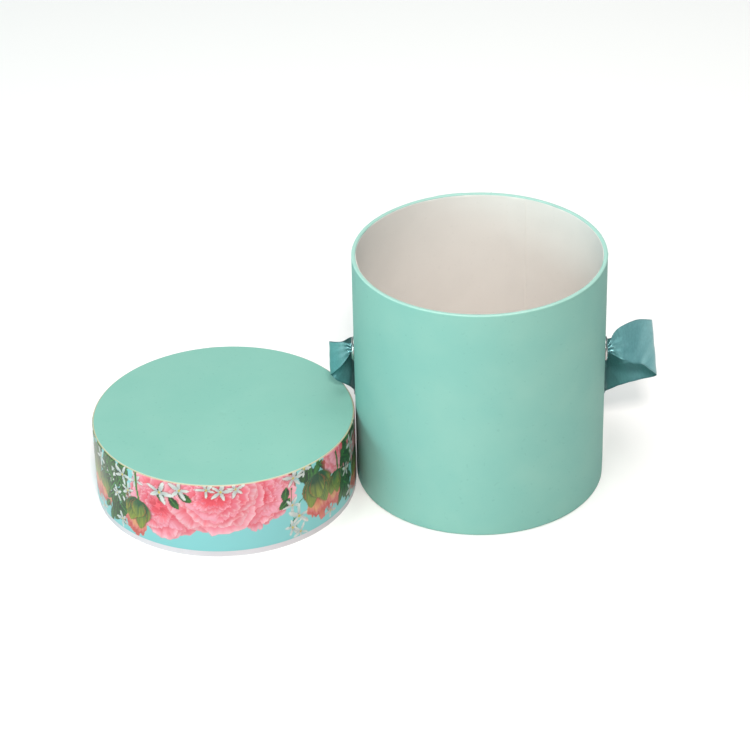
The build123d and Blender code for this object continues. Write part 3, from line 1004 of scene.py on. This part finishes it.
def make_eyelets(finish):
    """Domed flanges outside, barrels through the wall rolled back over washers inside."""
    bore, metal = 5.0, 0.4
    flange = eyelet_radius / mm
    face = body_radius / mm
    crown = eyelet_high.x / mm - face
    mouth = 0.45 * crown
    ridge = (bore + metal + flange - metal) / 2
    reach = flange - ridge
    washer = washer_low.x / mm
    end = eyelet_low.x / mm
    turns = np.radians(np.arange(0, 91, 9))[:, None]
    unit_x, unit_y = np.cos(turns), np.sin(turns)
    outer_half = np.hstack((ridge + reach * unit_x, face + crown * unit_y))
    inner_half = np.hstack((ridge - reach * unit_y, face + mouth + (crown - mouth) * unit_x))[1:]
    hollow = reach - metal
    under_half = np.hstack((ridge - hollow * unit_x, face + 0.2 * crown + (0.8 * crown - metal) * unit_y))
    lip_half = np.hstack((ridge + hollow * unit_y, face + (crown - metal) * unit_x))[1:]
    curl = arc((bore + 1.0, washer), 1.0, 180, 360, 8) * (1, 1)
    curl[:, 1] = washer + (curl[:, 1] - washer) * (washer - end)
    outline = (outer_half, inner_half, straight((bore, face), (bore, washer + 0.2), 3), curl,
               straight((bore + 1.6, washer), (bore + metal, washer)),
               straight((bore + metal, washer), (bore + metal, face), 2), under_half, lip_half)
    splits = 8

    def shape(angle, radius, height):
        rolled = ramp(height, washer - 0.1, washer - 0.8)
        return -0.28 * rolled * bell(apart(angle * splits, 0), 40)

    for side, name in ((-1, "left"), (1, "right")):
        mesh = turned(f"metal_eyelet_{name}", outline, np.arange(0, 360, 3.0), round_eyelet(side), shape)
        placed(mesh, finish, "box", f"eyelet_{name}")
        inner, outer = bore + metal + 0.1, (washer_high.z - washer_low.z) / 2 / mm
        back, front = washer_low.x / mm, washer_high.x / mm
        soft = 0.15
        ring = (
            arc((outer - soft, back + soft), soft, -90, 0, 3),
            arc((outer - soft, front - soft), soft, 0, 90, 3),
            straight((outer - soft - 0.2, front), (inner, front), 2),
            straight((inner, front), (inner, back)),
            straight((inner, back), (outer - soft - 0.1, back), 4),
        )
        mesh = turned(f"metal_washer_{name}", ring, np.arange(0, 360, 5.0), round_eyelet(side))
        placed(mesh, finish, "box", f"eyelet_washer_{name}")


# ---------------- floor, light and camera


floor_size = 24.0
camera_place = (0, -1.6447, 1.0849)
camera_turns = (2.625, 31.44, -1.364)       # heading, downward pitch and roll, in degrees
camera_lens, camera_sensor = 128.1, 36.0    # millimetres


def make_floor():
    bpy.ops.mesh.primitive_plane_add(size=floor_size)
    floor = bpy.context.object
    floor.name = "floor"
    shader = Shader("floor paper", Roughness=0.9, Specular_IOR_Level=0.1)
    shader.set("Base Color", [0.98, 0.92, 0.9, 1])
    floor.data.materials.append(shader.material)


def soft_light(name, place, aim, width, height, power, colour=(1, 1, 1)):
    lamp = bpy.data.lights.new(name, "AREA")
    lamp.shape = "RECTANGLE"
    lamp.size = width
    lamp.size_y = height
    lamp.energy = power
    lamp.color = colour
    stand = bpy.data.objects.new(name, lamp)
    stand.location = place
    stand.rotation_euler = (Vector(aim) - Vector(place)).to_track_quat("-Z", "Y").to_euler()
    bpy.context.scene.collection.objects.link(stand)


def make_camera():
    heading, pitch, roll = np.radians(camera_turns)
    turn = Matrix.Rotation(heading, 4, "Z") @ Matrix.Rotation(math.pi / 2 - pitch, 4, "X")
    camera_data = bpy.data.cameras.new("camera")
    camera_data.lens = camera_lens
    camera_data.sensor_width = camera_sensor
    camera = bpy.data.objects.new("camera", camera_data)
    camera.matrix_world = Matrix.Translation(camera_place) @ turn @ Matrix.Rotation(roll, 4, "Z")
    bpy.context.scene.collection.objects.link(camera)
    bpy.context.scene.camera = camera


make_sleeve()
make_ribbon(satin())
make_wrap(finishes["mint_paper"])
make_lining(finishes["cream_paper"])
# painted light: the lid's disc gets a paler copy of the body's mint paper for the light on its top
make_lid_cover(paper("mint paper brightened for top light", (133, 180, 166), (129, 178, 164), flecks=0.15), finishes["white_paper"])
make_eyelets(finishes["nickel"])
make_floor()
subject = (-0.05, 0, 0.09)
soft_light("key", (0.12, -1.65, 1.62), subject, 0.3, 0.3, 31, (0.98, 0.95, 0.92))
soft_light("fill", (-1.2, -2.3, 1.1), subject, 1.6, 1.2, 15, (0.9, 0.96, 0.94))
soft_light("side", (-2.1, -1.1, 0.55), subject, 1.2, 0.8, 24, (0.6, 0.95, 1.0))
soft_light("overhead", (0.05, 0.1, 2.6), subject, 2.4, 2.4, 59, (1.0, 0.98, 0.96))
world = bpy.data.worlds.new("studio")
world.use_nodes = True
world.node_tree.nodes["Background"].inputs["Color"].default_value = (0.5, 0.9, 1, 1)
world.node_tree.nodes["Background"].inputs["Strength"].default_value = 0.2
bpy.context.scene.world = world
bpy.context.scene.view_settings.view_transform = "Standard"
make_camera()

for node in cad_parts.values():
    for material_slot in node.material_slots:
        wanted = material_slot.material.name.split(".")[0]
        if wanted in finishes:
            material_slot.material = finishes[wanted]
